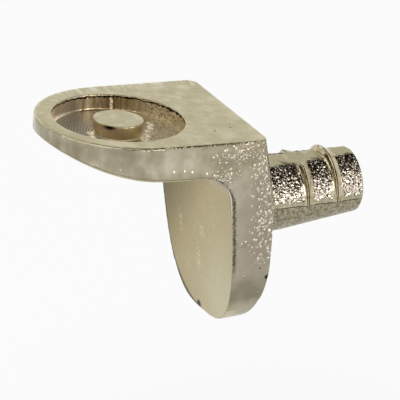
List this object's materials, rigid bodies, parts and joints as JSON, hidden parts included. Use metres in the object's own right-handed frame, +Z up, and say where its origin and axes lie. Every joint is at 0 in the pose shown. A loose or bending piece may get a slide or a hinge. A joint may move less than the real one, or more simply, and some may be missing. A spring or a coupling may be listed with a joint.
{
  "type": "shelf support pin",
  "caption": "One-piece cast shelf support: a bullet-shaped table with a round pad seat and stud, a rounded tongue, and a ribbed pin for a row hole.",
  "frame": {"origin": "on the pin's axis, in the plane of the flat land that meets the cabinet side", "axes": "+Y along the pin into the cabinet side, +Z up, +X to the right when looking at the wall"},
  "size_m": [0.0114, 0.0221, 0.015],
  "materials": {
    "nickel": "satin nickel plate on die-cast zinc alloy"
  },
  "bodies": {
    "root": {"support_casting": "nickel"}
  },
  "joints": []
}
